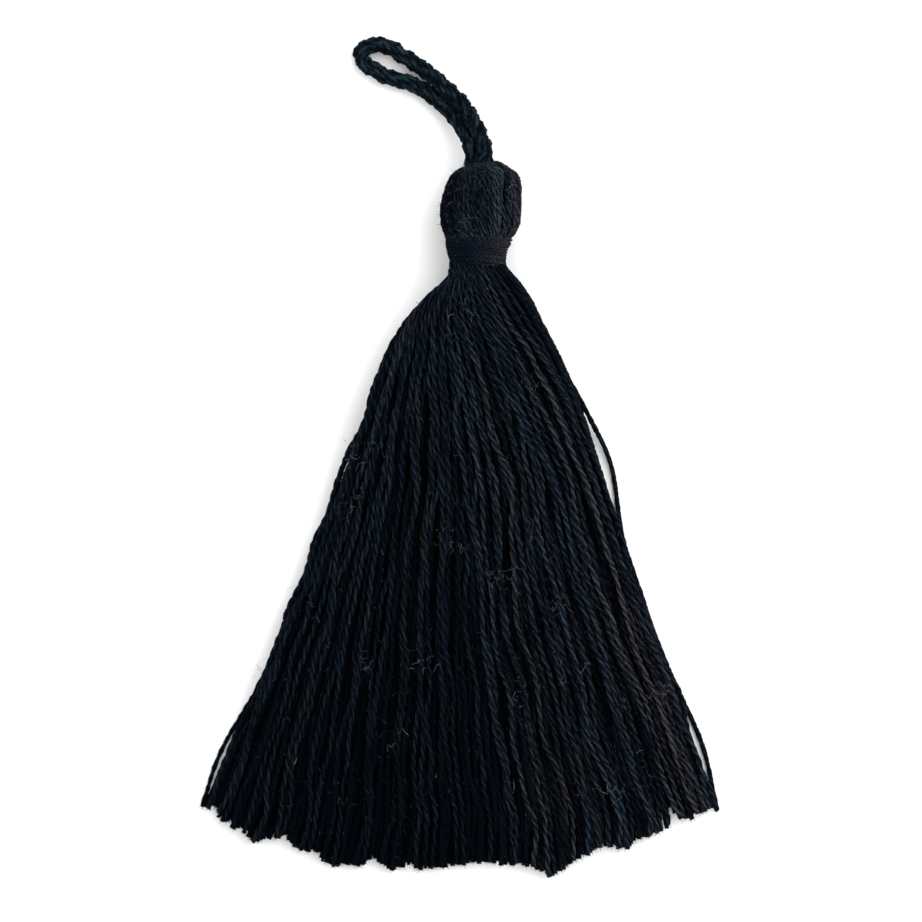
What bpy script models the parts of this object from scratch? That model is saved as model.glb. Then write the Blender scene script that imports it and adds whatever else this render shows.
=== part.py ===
"""A small cotton tassel, lying on its back with its skirt fanned out.

It is made the way a tassel is tied: a hank of plied yarn is folded over a twisted cord, the
cord stays as the hanging loop, and a thread wound round the neck parts the head from the skirt.
Metres, +Z up, +Y from the skirt towards the loop. The origin is the middle of the small flat
under the head, on the surface that the tassel lies on.
"""

import math
import random
from collections import namedtuple

import bmesh
import bpy
from mathutils import Vector, noise
from mathutils.geometry import interpolate_bezier

MM = 0.001

# ---------------------------------------------------------------- driving dimensions, in mm
STRAND_LENGTH = 72.5  # from the binding to the cut ends
STRAND_WIDTH = 0.9
STRAND_HEIGHT = 0.62
COLUMNS = 36  # strands side by side in a layer
LAYERS = 4
NECK_LINE = -6.2  # where the skirt leaves the binding, along Y
ROOTS_END = 5.0  # below the neck line the strands are fused this far
FREE_AT = 30.0  # below the neck line the strands have spread into their layers
CELL_SHARE = 0.74  # of its cell that a crowded strand fills
STRAND_STOPS = (9.0, 15.5, 25.0, 38.0, 55.0)  # below the neck line, before the cut end
YARN_RIB = 0.18  # how far the yarns stand out of the grooves of the head and the roots
BUNDLE_ANGLE = math.radians(81)  # of the round bundle that half a layer covers
BUNDLE_BULGE = 0.0125  # the share by which its middle rows are wider than a true circle
WAVE = 0.9  # how far a lock of strands wanders sideways
WAVE_GRAIN = (2.6, 0.045)  # how often it wanders, across the fan and for each mm down
WAVE_GROWS = 25.0  # the length over which the wander sets in
LANE_SPREAD = 0.11  # how far a single strand strays in its lane, as a share of a column
END_SPREAD = 0.9  # how unevenly the ends are cut
CUT_SLANT = 0.35  # how far the outer corner of a cut end lies past its middle
LEVEL_TO = (64.0, 67.3)  # below the neck line the left and the right edge lie level this far
TIP_LIFT = 0.1  # past the line between those, an end rises this much for each mm
PILE_EDGE = 0.24  # the share by which the pile is lower at the fan's edges than at its middle
PILE_LUMPS = 0.1  # the share by which its height varies from place to place
LUMP_GRAIN = (2.0, 0.05)  # how often it varies, across the fan and for each mm down
LEAST_RISE = 1.08  # from one layer to the next at least, in strand heights
ROOT_INSET = 0.1  # how far a strand's root is set in from its cell, as a share of the cell

CORD_RADIUS = 0.92
CORD_PLIES = 3
CORD_LAY = 6.3  # length of one full twist
CORD_STEP = 0.72
PLY_RELIEF = 0.13

BINDING_CENTRE = (-0.08, 4.48)  # in X and Z
BINDING_TOP = -3.1
BINDING_BOTTOM = -6.55
BINDING_INNER = 3.15
BINDING_TOP_RADIUS = 3.95
BINDING_BOTTOM_RADIUS = 3.52
BINDING_TURNS = 11
BINDING_RELIEF = 0.1
BINDING_SIDES = 26

BLACK_COTTON = (0.011, 0.013, 0.018, 1.0)
BLACK_THREAD = (0.016, 0.015, 0.018, 1.0)

# Sections of the tied end, from the neck up to the bottom of the dimple in the crown.
# along: Y. centre, middle: the section's middle in X and Z. half: its radius. ribs: 0 is smooth.
Section = namedtuple("Section", "along centre middle half ribs")
TIED_END = (
    Section(-6.90, -0.08, 4.45, 2.82, 0.0),
    Section(-2.80, -0.08, 4.52, 2.82, 0.0),
    Section(-2.75, -0.06, 4.52, 4.08, 1.0),
    Section(-2.00, 0.00, 4.54, 4.50, 1.0),
    Section(-0.60, 0.12, 4.55, 4.80, 1.0),
    Section(1.40, 0.25, 4.56, 4.70, 1.0),
    Section(3.00, 0.40, 4.58, 4.44, 1.0),
    Section(4.30, 0.54, 4.60, 3.94, 1.0),
    Section(5.30, 0.50, 4.62, 3.10, 0.7),
    Section(5.80, 0.25, 4.62, 2.57, 0.3),
    Section(5.35, 0.10, 4.62, 2.30, 0.0),
    Section(4.70, 0.10, 4.62, 2.15, 0.0),
)

# The skirt below the neck line. left, right: its reach from the axis. middle, half: the tied
# bundle's middle and half height in Z. rise: from one layer of the pile to the next. settled: 0
# is still the round bundle, 1 is the pile on the surface.
Spread = namedtuple("Spread", "down left right middle half rise settled")
SKIRT = (
    Spread(0.7, 3.6, 3.5, 4.42, 3.35, 0.98, 0.00),
    Spread(2.0, 4.6, 4.6, 4.36, 3.40, 0.98, 0.04),
    Spread(4.3, 6.8, 6.3, 4.25, 3.40, 0.98, 0.12),
    Spread(7.0, 9.1, 7.7, 4.10, 3.35, 0.98, 0.25),
    Spread(10.0, 10.9, 9.2, 3.95, 3.20, 0.98, 0.42),
    Spread(16.0, 13.4, 11.8, 3.60, 2.90, 0.98, 0.72),
    Spread(26.0, 17.1, 14.9, 3.10, 2.60, 0.96, 1.00),
    Spread(36.0, 20.9, 18.2, 3.00, 2.50, 0.92, 1.00),
    Spread(46.0, 24.9, 21.8, 3.00, 2.50, 0.86, 1.00),
    Spread(56.0, 29.6, 25.8, 3.00, 2.50, 0.78, 1.00),
    Spread(66.0, 33.9, 29.0, 3.00, 2.50, 0.72, 1.00),
    Spread(74.0, 37.0, 31.2, 3.00, 2.50, 0.70, 1.00),
)
EDGE_TIPS = SKIRT[-2]  # the row where the fan's outermost strands end

# Each layer of the pile, from the surface up: its reach as a share of the spread, and its
# sideways shift in columns.
Layer = namedtuple("Layer", "reach shift")
PILE = (
    Layer(1.00, 0.00),
    Layer(0.97, 0.45),
    Layer(0.91, -0.22),
    Layer(0.82, 0.22),
)

# Where the cut ends part into locks. across: -1 left edge, 1 right edge. opening: half the gap
# at the ends. back: how far the gap runs up from the ends.
Parting = namedtuple("Parting", "across opening back")
PARTINGS = (
    Parting(-0.86, 0.45, 16.0),
    Parting(-0.70, 0.40, 7.0),
    Parting(-0.30, 0.25, 9.0),
    Parting(0.12, 0.30, 14.0),
    Parting(0.76, 0.90, 10.0),
)
PARTING_FADE = 0.14  # the share of the fan's half over which a parting's push dies away

# Single strands that bow out of the fan's edge: which one, where, and how far.
Stray = namedtuple("Stray", "column layer start end reach")
STRAYS = (
    Stray(COLUMNS - 1, 1, 10.0, 36.0, 1.9),
    Stray(COLUMNS - 1, 0, 46.0, 68.0, 0.9),
    Stray(0, 0, 50.0, 68.0, 0.8),
)

# The loop's middle line, from the crown along the upper leg, round the end and back.
LOOP_ROUTE = (
    (0.52, 5.05, 5.42),
    (0.78, 6.05, 5.34),
    (0.86, 7.05, 5.06),
    (0.22, 9.16, 4.30),
    (-0.89, 11.36, 3.48),
    (-2.10, 13.16, 2.78),
    (-3.70, 14.75, 2.12),
    (-5.02, 15.95, 1.66),
    (-6.77, 17.35, 1.22),
    (-8.26, 18.34, 1.02),
    (-9.25, 18.96, 0.96),
    (-10.20, 19.62, 0.94),
    (-11.20, 20.02, 0.94),
    (-12.35, 20.16, 0.94),
    (-13.38, 19.90, 0.94),
    (-14.00, 19.14, 0.94),
    (-13.92, 18.22, 0.94),
    (-13.20, 17.62, 0.94),
    (-12.30, 17.06, 0.94),
    (-11.40, 16.52, 0.94),
    (-10.30, 16.10, 0.94),
    (-9.00, 15.80, 0.94),
    (-7.60, 15.30, 0.94),
    (-6.30, 14.60, 1.00),
    (-5.30, 13.86, 1.14),
    (-4.10, 12.85, 1.44),
    (-3.30, 12.00, 1.76),
    (-2.62, 11.15, 2.06),
    (-2.00, 10.25, 2.38),
    (-1.42, 9.30, 2.72),
    (-1.00, 8.30, 3.06),
    (-0.70, 7.15, 3.42),
    (-0.62, 6.10, 3.68),
    (-0.62, 5.05, 3.82),
)


# ---------------------------------------------------------------- small helpers
def clear_scene():
    for obj in list(bpy.data.objects):
        bpy.data.objects.remove(obj, do_unlink=True)


def cotton(name, colour):
    material = bpy.data.materials.new(name)
    material.use_nodes = True
    surface = material.node_tree.nodes["Principled BSDF"]
    surface.inputs["Base Color"].default_value = colour
    surface.inputs["Roughness"].default_value = 0.85
    surface.inputs["Metallic"].default_value = 0.0
    return material


def add_object(name, data, collection, material=None):
    obj = bpy.data.objects.new(name, data)
    collection.objects.link(obj)
    if material:
        data.materials.append(material)
    return obj


def spread_at(down):
    """The row of SKIRT at any distance below the neck line."""
    down = min(max(down, SKIRT[0].down), SKIRT[-1].down)
    above, below = next(pair for pair in zip(SKIRT, SKIRT[1:]) if down <= pair[1].down)
    share = (down - above.down) / (below.down - above.down)
    return Spread(*(a + (b - a) * share for a, b in zip(above, below)))


def smooth_step(share):
    share = min(1.0, max(0.0, share))
    return share * share * (3 - 2 * share)


# ---------------------------------------------------------------- where the yarn lies
# The hank is first built straight, like a square brush: across and up run from -1 to 1 over
# its section, and the third coordinate is the distance below the neck line. The functions here
# carry a point of that brush to where it lies in the tassel.
def bundled(across, up):
    """A point of the square section moved into a round one of radius 1."""
    angle = BUNDLE_ANGLE * across
    return math.sin(angle) * (1 + BUNDLE_BULGE * (1 - up * up)), up * math.cos(angle)


def parted(across, down):
    """The sideways move, in mm, of a place near a parting between two locks."""
    moved = 0.0
    for parting in PARTINGS:
        off = across - parting.across
        opened = smooth_step((down - end_of(across) + parting.back) / parting.back)
        push = parting.opening * opened * math.exp(-abs(off) / PARTING_FADE)
        moved += math.copysign(push, off)
    return moved


def waved(across, down):
    """The slow wander of neighbouring strands, shared by a whole lock, in mm."""
    grown = smooth_step((down - ROOTS_END) / WAVE_GROWS)
    sideways, along = WAVE_GRAIN
    return WAVE * grown * noise.noise(Vector((across * sideways, down * along, 0.3)))


def lifted(across, down):
    """How far the ends between the fan's two outer corners rise off the surface, in mm."""
    left, right = LEVEL_TO
    level_to = left + (right - left) * (across + 1) / 2
    return TIP_LIFT * max(0.0, down - level_to)


def skirt_place(across, up, down):
    """Where a point of the skirt lies."""
    row = spread_at(down)
    reach = row.right if across > 0 else row.left
    bundle_x, bundle_z = bundled(across, up)
    x = reach * (bundle_x * (1 - row.settled) + across * row.settled)
    sideways, along = LUMP_GRAIN
    lumps = PILE_LUMPS * noise.noise(Vector((across * sideways, down * along, 8)))
    rise = row.rise * (1 + PILE_EDGE * (0.5 - across**2) + lumps)
    rise = max(rise, LEAST_RISE * STRAND_HEIGHT)
    lowest = min(STRAND_HEIGHT, CELL_SHARE * rise) / 2 - rise / 2
    piled = (up + 1) / 2 * LAYERS * rise + lowest + lifted(across, down)
    return Vector((
        x + waved(across, down) + parted(across, down),
        NECK_LINE - down,
        (row.middle + row.half * bundle_z) * (1 - row.settled) + piled * row.settled,
    ))


def end_of(across):
    """How far below the neck line a strand of this place in the fan ends."""
    sideways = across * (EDGE_TIPS.right if across > 0 else EDGE_TIPS.left)
    return math.sqrt(STRAND_LENGTH**2 - sideways**2)


def ribbed(place, centre, middle, relief):
    """A point of the hank's outside, moved away from the axis by a yarn's relief."""
    outward = Vector((place.x - centre, 0, place.z - middle)).normalized()
    place += outward * relief
    place.z = max(0.0, place.z)
    return place


def tied_place(across, up, section, relief):
    """Where a point of the head or the neck lies."""
    bundle_x, bundle_z = bundled(across, up)
    place = Vector((
        section.centre + section.half * bundle_x,
        section.along,
        section.middle + section.half * bundle_z,
    ))
    return ribbed(place, section.centre, section.middle, relief * section.ribs)


class Strand:
    """One strand of the skirt: its cell of the brush, and its own small shifts."""

    def __init__(self, column, layer, dice):
        self.column = column
        self.layer = layer
        self.across = (2 * column + 1) / COLUMNS - 1
        self.up = (2 * layer + 1) / LAYERS - 1
        self.wander = dice.uniform(-LANE_SPREAD, LANE_SPREAD)
        self.end = end_of(self.across) + dice.uniform(-END_SPREAD, END_SPREAD)

    def lane(self, side, down):
        """The across of the strand's middle line, side 0, or of its cell's edge, side -1 or 1."""
        free = smooth_step((down - ROOTS_END) / (FREE_AT - ROOTS_END))
        lying = PILE[self.layer]
        share = 1 + (lying.reach - 1) * free
        shift = free * (lying.shift + self.wander)
        return (self.across + side / COLUMNS) * share + shift * 2 / COLUMNS

    def strayed(self, down):
        """How far a stray strand bows out of the fan here, in mm."""
        for stray in STRAYS:
            if (stray.column, stray.layer) == (self.column, self.layer):
                share = min(1.0, max(0.0, (down - stray.start) / (stray.end - stray.start)))
                return math.copysign(stray.reach, self.across) * math.sin(math.pi * share) ** 2
        return 0.0

    def corner(self, across, up, down):
        """One corner of the strand's four-sided section."""
        side = math.copysign(1, across - self.across)
        level = math.copysign(1, up - self.up)
        place = skirt_place(self.lane(0, down), self.up, down)
        cell = skirt_place(self.lane(side, down), self.up + level / LAYERS, down)
        crowded = 1 - smooth_step((down - ROOTS_END) / (STRAND_STOPS[1] - ROOTS_END))
        half_width = CELL_SHARE * abs(cell.x - place.x)
        half_height = CELL_SHARE * abs(cell.z - place.z)
        free_height = min(STRAND_HEIGHT / 2, half_height)
        place.x += side * min(STRAND_WIDTH / 2, half_width)
        place.z += level * (half_height * crowded + free_height * (1 - crowded))
        place.x += self.strayed(down)
        if down == self.end:
            place.y -= CUT_SLANT * side * self.across
        place.z = max(0.0, place.z)
        return place


# ---------------------------------------------------------------- the hank of yarn
def cell_of(face):
    """The column and layer of the brush that a face of its end lies in."""
    middle = face.calc_center_median()
    return int((middle.x + 1) / 2 * COLUMNS), int((middle.y + 1) / 2 * LAYERS)


def draw_back(brush, rim):
    """A new ring of faces from an open rim of the brush: its points, and the new rim."""
    made = bmesh.ops.extrude_edge_only(brush, edges=rim)["geom"]
    points = [item for item in made if isinstance(item, bmesh.types.BMVert)]
    edges = [item for item in made if isinstance(item, bmesh.types.BMEdge)]
    return points, [edge for edge in edges if edge.is_boundary]


def make_hank(collection, material):
    brush = bmesh.new()
    bmesh.ops.create_grid(brush, x_segments=COLUMNS, y_segments=LAYERS, size=1.0)
    place_of = {}

    def relief(point):
        step = round((point.co.x + 1) / 2 * COLUMNS) + round((point.co.y + 1) / 2 * LAYERS)
        return YARN_RIB if step % 2 == 0 else 0.0

    # The brush's end, where the strands leave the fused roots.
    rim = [edge for edge in brush.edges if edge.is_boundary]
    cells = list(brush.faces)
    for point in brush.verts:
        place_of[point] = skirt_place(point.co.x, point.co.y, ROOTS_END)

    # The fused roots and the tied end: the rim drawn back ring by ring, then closed.
    for row in (row for row in reversed(SKIRT) if row.down < ROOTS_END):
        points, rim = draw_back(brush, rim)
        for point in points:
            place = skirt_place(point.co.x, point.co.y, row.down)
            place_of[point] = ribbed(place, 0, row.middle, relief(point))
    for section in TIED_END:
        points, rim = draw_back(brush, rim)
        for point in points:
            place_of[point] = tied_place(point.co.x, point.co.y, section, relief(point))
    bmesh.ops.contextual_create(brush, geom=rim)

    # The strands: each cell of the brush's end, set in and drawn out from stop to stop.
    dice = random.Random(7)
    strands = {cell_of(face): Strand(*cell_of(face), dice) for face in cells}
    bmesh.ops.inset_individual(brush, faces=cells, thickness=ROOT_INSET * 2 / COLUMNS)
    for down in (ROOTS_END, *STRAND_STOPS, None):
        if down != ROOTS_END:
            cells = bmesh.ops.extrude_discrete_faces(brush, faces=cells)["faces"]
        for face in cells:
            strand = strands[cell_of(face)]
            for point in face.verts:
                stop = strand.end if down is None else down
                place_of[point] = strand.corner(point.co.x, point.co.y, stop)

    for point, place in place_of.items():
        point.co = place * MM
    bmesh.ops.recalc_face_normals(brush, faces=brush.faces)
    mesh = bpy.data.meshes.new("yarn_hank")
    brush.to_mesh(mesh)
    brush.free()
    return add_object("yarn_hank", mesh, collection, material)


# ---------------------------------------------------------------- the thread round the neck
def make_binding(collection, material):
    """A turned sleeve, ridged by the turns of the thread, with its axis laid along Y."""
    length = BINDING_TOP - BINDING_BOTTOM
    steps = 2 * BINDING_TURNS
    outline = [(BINDING_INNER, length / 2)]
    for step in range(steps + 1):
        share = step / steps
        radius = BINDING_TOP_RADIUS + (BINDING_BOTTOM_RADIUS - BINDING_TOP_RADIUS) * share
        groove = 0 if step % 2 else BINDING_RELIEF
        outline.append((radius - groove, length * (0.5 - share)))
    outline.append((BINDING_INNER, -length / 2))
    profile = bmesh.new()
    points = [profile.verts.new((radius * MM, 0, height * MM)) for radius, height in outline]
    for above, below in zip(points, points[1:] + points[:1]):
        profile.edges.new((above, below))
    mesh = bpy.data.meshes.new("neck_binding")
    profile.to_mesh(mesh)
    profile.free()
    binding = add_object("neck_binding", mesh, collection, material)
    centre_x, centre_z = BINDING_CENTRE
    binding.location = (centre_x * MM, (BINDING_TOP + BINDING_BOTTOM) / 2 * MM, centre_z * MM)
    binding.rotation_euler = (-math.pi / 2, 0, 0)
    turn = binding.modifiers.new("turn", "SCREW")
    turn.steps = BINDING_SIDES
    turn.render_steps = BINDING_SIDES
    turn.use_merge_vertices = True
    turn.merge_threshold = 0.00001
    return binding


# ---------------------------------------------------------------- the hanging loop
def smooth_line(route, step):
    """Points about a step apart on a smooth curve through the route's points."""
    points = [Vector(point) for point in route]
    points = [2 * points[0] - points[1], *points, 2 * points[-1] - points[-2]]
    dense = []
    for before, start, end, after in zip(points, points[1:], points[2:], points[3:]):
        knots = (start, start + (end - before) / 6, end - (after - start) / 6, end)
        dense += interpolate_bezier(*knots, 24)[:-1]
    dense.append(points[-2])
    travelled = [0.0]
    for here, there in zip(dense, dense[1:]):
        travelled.append(travelled[-1] + (there - here).length)
    count = round(travelled[-1] / step)
    line = []
    spot = 0
    for number in range(count + 1):
        target = travelled[-1] * number / count
        while spot < len(dense) - 2 and travelled[spot + 1] < target:
            spot += 1
        share = (target - travelled[spot]) / (travelled[spot + 1] - travelled[spot])
        line.append(dense[spot].lerp(dense[spot + 1], share))
    return line


def make_loop(collection, helpers, material):
    """A three-ply twisted cord: a lobed outline carried along the route and turned as it goes."""
    sides = 3 * CORD_PLIES
    outline = bpy.data.curves.new("cord_outline", "CURVE")
    outline.dimensions = "2D"
    ring = outline.splines.new("POLY")
    ring.points.add(sides - 1)
    for number, point in enumerate(ring.points):
        angle = -2 * math.pi * number / sides
        groove = (1 - math.cos(CORD_PLIES * angle)) / 2
        radius = (CORD_RADIUS - PLY_RELIEF * groove) * MM
        point.co = (radius * math.cos(angle), radius * math.sin(angle), 0, 1)
    ring.use_cyclic_u = True
    guide = add_object("cord_outline", outline, helpers)
    guide.hide_render = True

    line = smooth_line(LOOP_ROUTE, CORD_STEP)
    curve = bpy.data.curves.new("hanging_loop", "CURVE")
    curve.dimensions = "3D"
    curve.twist_mode = "MINIMUM"
    curve.bevel_mode = "OBJECT"
    curve.bevel_object = guide
    curve.use_fill_caps = True
    spline = curve.splines.new("POLY")
    spline.points.add(len(line) - 1)
    for number, (point, place) in enumerate(zip(spline.points, line)):
        point.co = (*(place * MM), 1)
        point.tilt = -2 * math.pi * number * CORD_STEP / CORD_LAY
    return add_object("hanging_loop", curve, collection, material)


def main():
    clear_scene()
    tassel = bpy.data.collections.new("tassel")
    helpers = bpy.data.collections.new("helpers")
    for collection in (tassel, helpers):
        bpy.context.scene.collection.children.link(collection)
    yarn = cotton("black_cotton_yarn", BLACK_COTTON)
    thread = cotton("black_thread", BLACK_THREAD)
    make_hank(tassel, yarn)
    make_binding(tassel, thread)
    make_loop(tassel, helpers, yarn)


main()
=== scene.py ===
# A small black cotton tassel: a hank of plied yarn folded over a cord, bound below the fold, and
# cut level. It lies on its back with the skirt fanned out. Lengths in tables are in millimetres.
import math
import random
from collections import namedtuple

import bmesh
import bpy
import numpy as np
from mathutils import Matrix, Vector, noise


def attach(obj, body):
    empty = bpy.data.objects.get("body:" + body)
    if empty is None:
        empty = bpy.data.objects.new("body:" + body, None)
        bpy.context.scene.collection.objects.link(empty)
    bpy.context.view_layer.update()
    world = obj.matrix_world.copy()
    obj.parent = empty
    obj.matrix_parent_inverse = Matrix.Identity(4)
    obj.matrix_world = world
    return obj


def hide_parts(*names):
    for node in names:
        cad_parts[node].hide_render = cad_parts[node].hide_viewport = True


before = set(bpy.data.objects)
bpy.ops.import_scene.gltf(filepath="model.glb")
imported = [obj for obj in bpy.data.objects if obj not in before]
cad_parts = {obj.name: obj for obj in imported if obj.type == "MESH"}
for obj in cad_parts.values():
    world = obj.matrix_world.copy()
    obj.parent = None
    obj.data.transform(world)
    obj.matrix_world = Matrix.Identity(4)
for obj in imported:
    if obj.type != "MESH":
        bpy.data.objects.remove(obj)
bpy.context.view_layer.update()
MM = 0.001


# ---------------------------------------------------------------- the skirt
# The free lengths of the hank: two-ply cotton yarn, dyed black, twisted like the middle stroke
# of an S. They leave the binding as one round bundle, then lie down in a fanned pile, each with
# the wander that it kept from the cone, and are cut off together along a shallow arc.
YARN = 0.66  # thickness
YARN_PLIES = 2
YARN_LAY = 3.1  # length of one full turn of the plies
YARN_WAIST = 0.27  # half its thickness across the groove, as a share of its thickness
LENGTHS = 280
NECK_LINE = -6.2  # Y of the place where the skirt leaves the binding
ROOT = -2.5  # below the neck line: where the lengths go in under the binding
BARE_LENGTH = 72.5
STATION = 1.5  # the step between the places that are worked out along a length
LAST_STATION = 78
LAST_STEP = 0.5  # the least step before a cut end
BEFORE_CUT = 4  # how far before its end a length's place at the cut is first judged
CUT_UNEVEN = 0.5
PRESSED = 0.72  # the thickness left to a length where the binding grips it
PRESSED_FOR = 12  # how far below the neck line a length is still pressed
SLUB = 0.16  # how uneven its thickness is, as a share of it
SLUB_GRAIN = 0.55
PILE_STEP = 0.58  # how near one length lies to the next, across or on top of it
PILE_LOFT = 1.1  # how much higher than that the springy pile stands

# down: distance below the neck line. left, right: the fan's reach. middle, half: the bundle's
# middle and half height. settled: 0 is still the round bundle, 1 the pile on the surface.
# turned: how far, in degrees, the bundle is still turned from the way it lies at its cut ends.
Spread = namedtuple("Spread", "down left right middle half settled turned")
SKIRT = (
    Spread(-2.5, 3.2, 3.2, 4.46, 3.10, 0.00, 60),
    Spread(-0.4, 3.2, 3.2, 4.46, 3.10, 0.00, 54),
    Spread(0.7, 3.4, 3.4, 4.42, 3.20, 0.00, 51),
    Spread(2.0, 3.8, 4.7, 4.36, 3.35, 0.04, 46),
    Spread(4.3, 6.5, 6.4, 4.25, 3.40, 0.12, 39),
    Spread(7.0, 8.9, 7.7, 4.10, 3.35, 0.25, 32),
    Spread(10.0, 10.7, 9.3, 3.95, 3.20, 0.42, 25),
    Spread(16.0, 13.2, 11.9, 3.60, 2.90, 0.72, 19),
    Spread(26.0, 16.4, 15.1, 3.10, 2.60, 1.00, 13),
    Spread(36.0, 20.2, 18.5, 3.00, 2.50, 1.00, 10),
    Spread(46.0, 24.3, 22.1, 3.00, 2.50, 1.00, 7),
    Spread(51.0, 26.5, 24.0, 3.00, 2.50, 1.00, 5),
    Spread(56.0, 28.8, 25.5, 3.00, 2.50, 1.00, 4),
    Spread(66.0, 33.1, 28.8, 3.00, 2.50, 1.00, 0),
    Spread(76.0, 37.4, 31.2, 3.00, 2.50, 1.00, 0),
)

# How the lengths stray from their straight ways. The binding lets nothing stray above GRIPPED_TO,
# and a length strays in full after FREED_OVER more. The lowest are the least loose.
GRIPPED_TO = 1
FREED_OVER = 18
LEAST_LOOSE = 0.12
LOOSE_FROM = -0.2  # the layer where lengths begin to be looser
LOOSE_OVER = 0.9
DRIFT = 0.9  # how far a loose length drifts aside over its whole way
DRIFT_FROM = 0.4  # where on its way it crosses its own place
EDGE_KEPT = 6  # the higher, the nearer to the fan's edge its lengths still stray
WANDER = 0.96  # how far each loose length wanders by itself

# The waves of that wander. share: its part. grain: waves for each mm. seed: which waves.
Wave = namedtuple("Wave", "share grain seed")
WAVES = (Wave(1.0, 0.055, 0), Wave(0.75, 0.15, 400), Wave(0.25, 0.4, 800))

# How whole locks sway together. across, down: waves over half the fan, and for each mm down.
LOCK_SWAY = 0.6
Sway = namedtuple("Sway", "across down seed")
WIDE_LOCKS = Sway(2.6, 0.045, 0.3)
NARROW_LOCKS = Sway(9.0, 0.06, 7.7)

# Where the cut ends part into locks. across: -1 left edge, 1 right edge. opening: half the gap
# at the ends. back: how far the gap runs up from the ends.
Parting = namedtuple("Parting", "across opening back")
PARTINGS = (
    Parting(-0.68, 0.12, 5.0),
    Parting(0.78, 0.22, 5.0),
)
PARTING_FADE = 0.14  # how far a parting is still felt, as a share of half the fan

# The corners of the line along which the combed fan is cut: its locks' ends and the notches
# between them. x: across the fan. down: below the neck line.
Cut = namedtuple("Cut", "x down")
CUTS = (
    Cut(-33.0, 65.5),
    Cut(-31.5, 65.5),
    Cut(-30.5, 67.0),
    Cut(-27.0, 69.5),
    Cut(-23.5, 69.0),
    Cut(-22.0, 70.5),
    Cut(-19.5, 71.0),
    Cut(-18.0, 72.5),
    Cut(-14.0, 72.5),
    Cut(-13.0, 71.5),
    Cut(-10.0, 73.0),
    Cut(-8.0, 72.0),
    Cut(-7.0, 73.0),
    Cut(-3.5, 72.5),
    Cut(0.5, 72.0),
    Cut(6.5, 72.5),
    Cut(9.0, 74.0),
    Cut(10.5, 72.5),
    Cut(15.0, 70.0),
    Cut(18.0, 70.5),
    Cut(19.0, 69.5),
    Cut(22.5, 68.0),
    Cut(23.0, 65.5),
    Cut(25.0, 67.0),
    Cut(28.0, 65.5),
    Cut(29.5, 66.0),
)

# Single lengths that bow out of the fan's edge, counted in from that edge. reach: how far out.
Stray = namedtuple("Stray", "side place start end reach")
STRAYS = (
    Stray(1, 0, 13.5, 34.0, 1.4),
    Stray(1, 1, 26.0, 36.0, 0.6),
    Stray(1, 0, 48.0, 68.0, 0.9),
    Stray(1, 1, 45.0, 69.0, 0.2),
    Stray(-1, 0, 50.0, 67.0, 0.8),
    Stray(-1, 1, 50.0, 67.0, 0.4),
    Stray(-1, 2, 50.0, 67.0, 0.3),
)

# The strokes of the comb. first, last: the lengths that it goes through, counted from the
# surface up. even: how evenly it leaves them over the fan, 0 as they fall and 1 wholly.
Stroke = namedtuple("Stroke", "first last even")
COMBED = (Stroke(0, 200, 0.9), Stroke(0, 200, 0.9), Stroke(200, LENGTHS, 0.3))


def smooth_step(share):
    share = np.clip(share, 0.0, 1.0)
    return share * share * (3 - 2 * share)


def spread_at(down):
    """The row of SKIRT at any distance below the neck line."""
    stops = [row.down for row in SKIRT]
    return Spread(*(np.interp(down, stops, column) for column in zip(*SKIRT)))


def cut_at(x):
    return np.interp(x, [cut.x for cut in CUTS], [cut.down for cut in CUTS])


def parted(across, down, end):
    """The sideways move of a place near a parting between two locks."""
    moved = 0.0
    for parting in PARTINGS:
        off = across - parting.across
        opened = smooth_step((down - end + parting.back) / parting.back)
        moved += math.copysign(math.exp(-abs(off) / PARTING_FADE), off) * parting.opening * opened
    return moved


SEEDS_APART = (7.31, 1.7)  # how far apart the noise of one seed lies from the next's


def wandering(seed, down, grain):
    """A wave between -1 and 1 along a line, another one for each seed."""
    across, deep = SEEDS_APART
    return noise.noise(Vector((seed * across, down * grain, seed * deep)))


def swayed(across, down, locks):
    """How far whole locks have swayed at a place, between -1 and 1."""
    return noise.noise(Vector((across * locks.across, down * locks.down, locks.seed)))


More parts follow.
